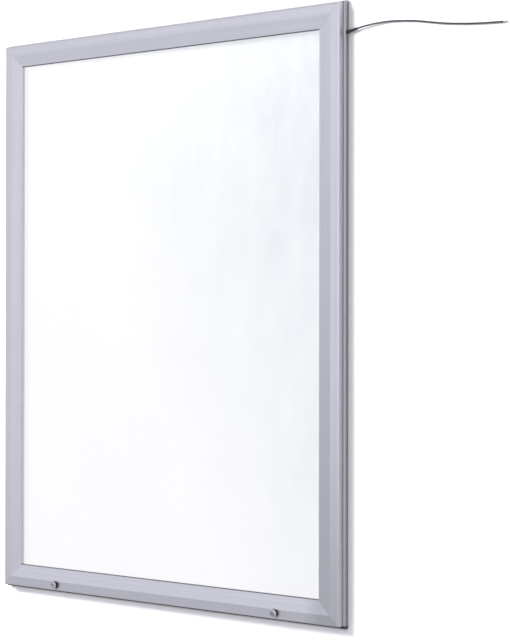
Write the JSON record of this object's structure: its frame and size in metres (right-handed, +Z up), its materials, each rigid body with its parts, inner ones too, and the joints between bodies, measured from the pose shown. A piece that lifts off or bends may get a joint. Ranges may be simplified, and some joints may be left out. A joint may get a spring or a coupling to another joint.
{
  "type": "illuminated poster case",
  "caption": "Wall-hung edge-lit poster case: mitred aluminium frame, clear door hinged along its top edge, cam locks in the lower rail, supply lead at the side.",
  "frame": {"origin": "centre of the back panel's rear face, on the wall plane", "axes": "+X to the right seen from the front, +Y back into the wall, +Z up"},
  "size_m": [0.9001, 0.0236, 0.899],
  "materials": {
    "anodised": "satin anodised extrusion",
    "plated_steel": "zinc plated",
    "back_sheet": "white coated sheet",
    "reflector": "matt white film",
    "guide_acrylic": "clear acrylic",
    "opal_acrylic": "opal, lit from behind",
    "board": "white solder mask",
    "led": "phosphor dome",
    "nylon": "moulded",
    "gland_rubber": "matt",
    "splice_plastic": "moulded",
    "wire_sleeve": "insulated wire",
    "lead_jacket": "extruded jacket",
    "copper": "tinned copper strands",
    "pane_acrylic": "clear sheet",
    "gasket_rubber": "soft extrusion",
    "lock_chrome": "bright plated"
  },
  "bodies": {
    "base": {"base_rail_top": "anodised", "base_rail_bottom": "anodised", "base_rail_left": "anodised", "base_rail_right": "anodised", "base_corner_keys": "plated_steel", "base_corner_screws": "plated_steel", "back_panel": "back_sheet", "back_panel_screws": "plated_steel", "reflector_sheet": "reflector", "light_guide": "guide_acrylic", "diffuser_panel": "opal_acrylic", "led_board_left": "board", "led_board_right": "board", "led_chips_left": "led", "led_chips_right": "led", "panel_clips": "plated_steel", "panel_clip_screws": "plated_steel", "hinge_end_plugs": "nylon", "cable_gland": "gland_rubber", "splice_block": "splice_plastic", "feed_wire_left": "wire_sleeve", "feed_wire_right": "wire_sleeve", "power_lead": "lead_jacket", "lead_cores": "copper"},
    "door": {"door_rail_top": "anodised", "door_rail_bottom": "anodised", "door_stile_left": "anodised", "door_stile_right": "anodised", "door_corner_keys": "plated_steel", "door_corner_screws": "plated_steel", "front_pane": "pane_acrylic", "pane_gasket": "gasket_rubber", "lock_barrel_left": "lock_chrome", "lock_barrel_right": "lock_chrome", "lock_nuts": "plated_steel"},
    "left_lock": {"lock_plug_left": "lock_chrome", "lock_cam_left": "plated_steel", "cam_screw_left": "plated_steel"},
    "right_lock": {"lock_plug_right": "lock_chrome", "lock_cam_right": "plated_steel", "cam_screw_right": "plated_steel"}
  },
  "joints": [
    {"name": "door_hinge", "type": "hinge", "parent": "base", "child": "door", "pos_m": [0, -0.0048, 0.4463], "axis": [-1, 0, 0], "range_deg": [0, 85]},
    {"name": "left_lock_turn", "type": "hinge", "parent": "door", "child": "left_lock", "pos_m": [-0.212, -0.01, -0.4365], "axis": [0, 1, 0], "range_deg": [0, 90]},
    {"name": "right_lock_turn", "type": "hinge", "parent": "door", "child": "right_lock", "pos_m": [0.212, -0.01, -0.4365], "axis": [0, 1, 0], "range_deg": [0, 90]}
  ]
}
